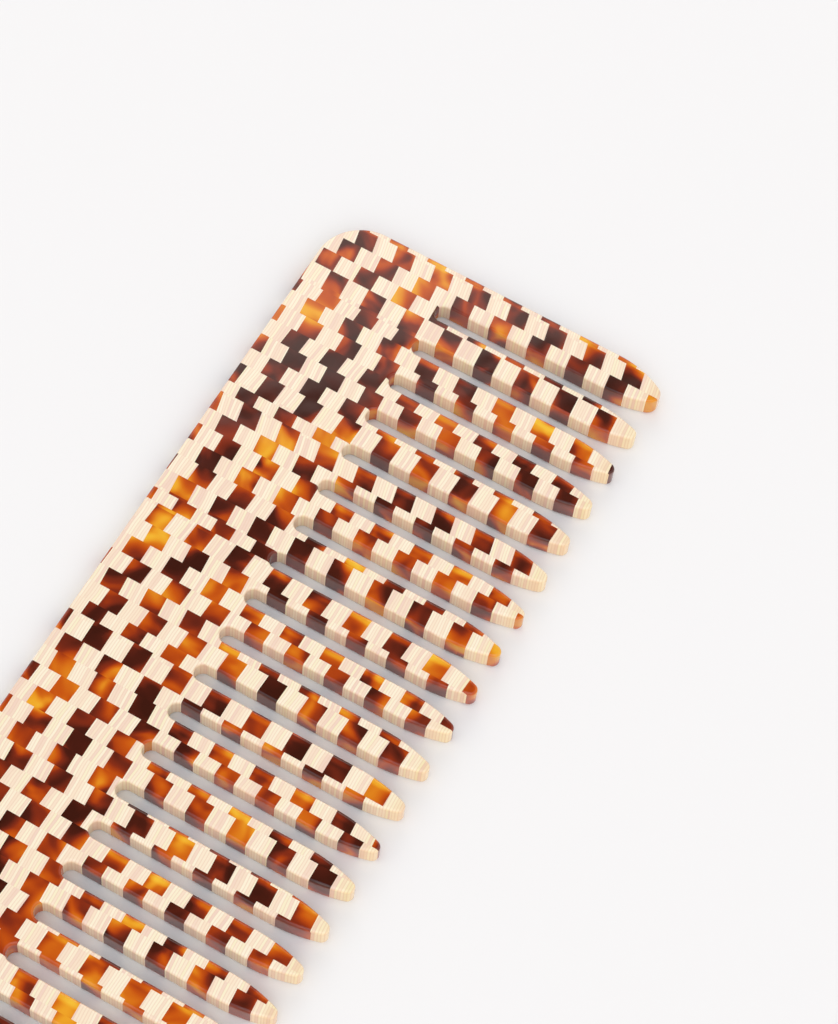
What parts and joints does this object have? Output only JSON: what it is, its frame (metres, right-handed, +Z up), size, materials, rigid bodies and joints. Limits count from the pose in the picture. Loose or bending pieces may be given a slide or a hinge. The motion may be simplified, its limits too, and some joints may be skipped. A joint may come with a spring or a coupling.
{
  "type": "hair comb",
  "caption": "Flat wide-tooth comb with a rounded back, rounded tooth tips and wider end teeth, made of a chequer of tortoiseshell and ivory acetate blocks.",
  "frame": {"origin": "middle of the comb's bounding rectangle, on the face that it lies on", "axes": "+X along the comb's back, +Y from the teeth to the back, +Z up from the face that it lies on"},
  "size_m": [0.1298, 0.0494, 0.0031],
  "materials": {
    "tortoise_acetate": "polished, translucent tortoiseshell marbling from near black through red-brown to amber",
    "ivory_acetate": "polished, cream with fine pinstripes that run along the comb's back"
  },
  "bodies": {
    "root": {"back_left_ivory": "ivory_acetate", "back_left_tortoise": "tortoise_acetate", "back_middle_ivory": "ivory_acetate", "back_middle_tortoise": "tortoise_acetate", "back_right_ivory": "ivory_acetate", "back_right_tortoise": "tortoise_acetate", "end_tooth_left_ivory": "ivory_acetate", "end_tooth_left_tortoise": "tortoise_acetate", "end_tooth_right_ivory": "ivory_acetate", "end_tooth_right_tortoise": "tortoise_acetate", "tooth_01_ivory": "ivory_acetate", "tooth_01_tortoise": "tortoise_acetate", "tooth_02_ivory": "ivory_acetate", "tooth_02_tortoise": "tortoise_acetate", "tooth_03_ivory": "ivory_acetate", "tooth_03_tortoise": "tortoise_acetate", "tooth_04_ivory": "ivory_acetate", "tooth_04_tortoise": "tortoise_acetate", "tooth_05_ivory": "ivory_acetate", "tooth_05_tortoise": "tortoise_acetate", "tooth_06_ivory": "ivory_acetate", "tooth_06_tortoise": "tortoise_acetate", "tooth_07_ivory": "ivory_acetate", "tooth_07_tortoise": "tortoise_acetate", "tooth_08_ivory": "ivory_acetate", "tooth_08_tortoise": "tortoise_acetate", "tooth_09_ivory": "ivory_acetate", "tooth_09_tortoise": "tortoise_acetate", "tooth_10_ivory": "ivory_acetate", "tooth_10_tortoise": "tortoise_acetate", "tooth_11_ivory": "ivory_acetate", "tooth_11_tortoise": "tortoise_acetate", "tooth_12_ivory": "ivory_acetate", "tooth_12_tortoise": "tortoise_acetate", "tooth_13_ivory": "ivory_acetate", "tooth_13_tortoise": "tortoise_acetate", "tooth_14_ivory": "ivory_acetate", "tooth_14_tortoise": "tortoise_acetate", "tooth_15_ivory": "ivory_acetate", "tooth_15_tortoise": "tortoise_acetate", "tooth_16_ivory": "ivory_acetate", "tooth_16_tortoise": "tortoise_acetate", "tooth_17_ivory": "ivory_acetate", "tooth_17_tortoise": "tortoise_acetate", "tooth_18_ivory": "ivory_acetate", "tooth_18_tortoise": "tortoise_acetate", "tooth_19_ivory": "ivory_acetate", "tooth_19_tortoise": "tortoise_acetate"}
  },
  "joints": []
}
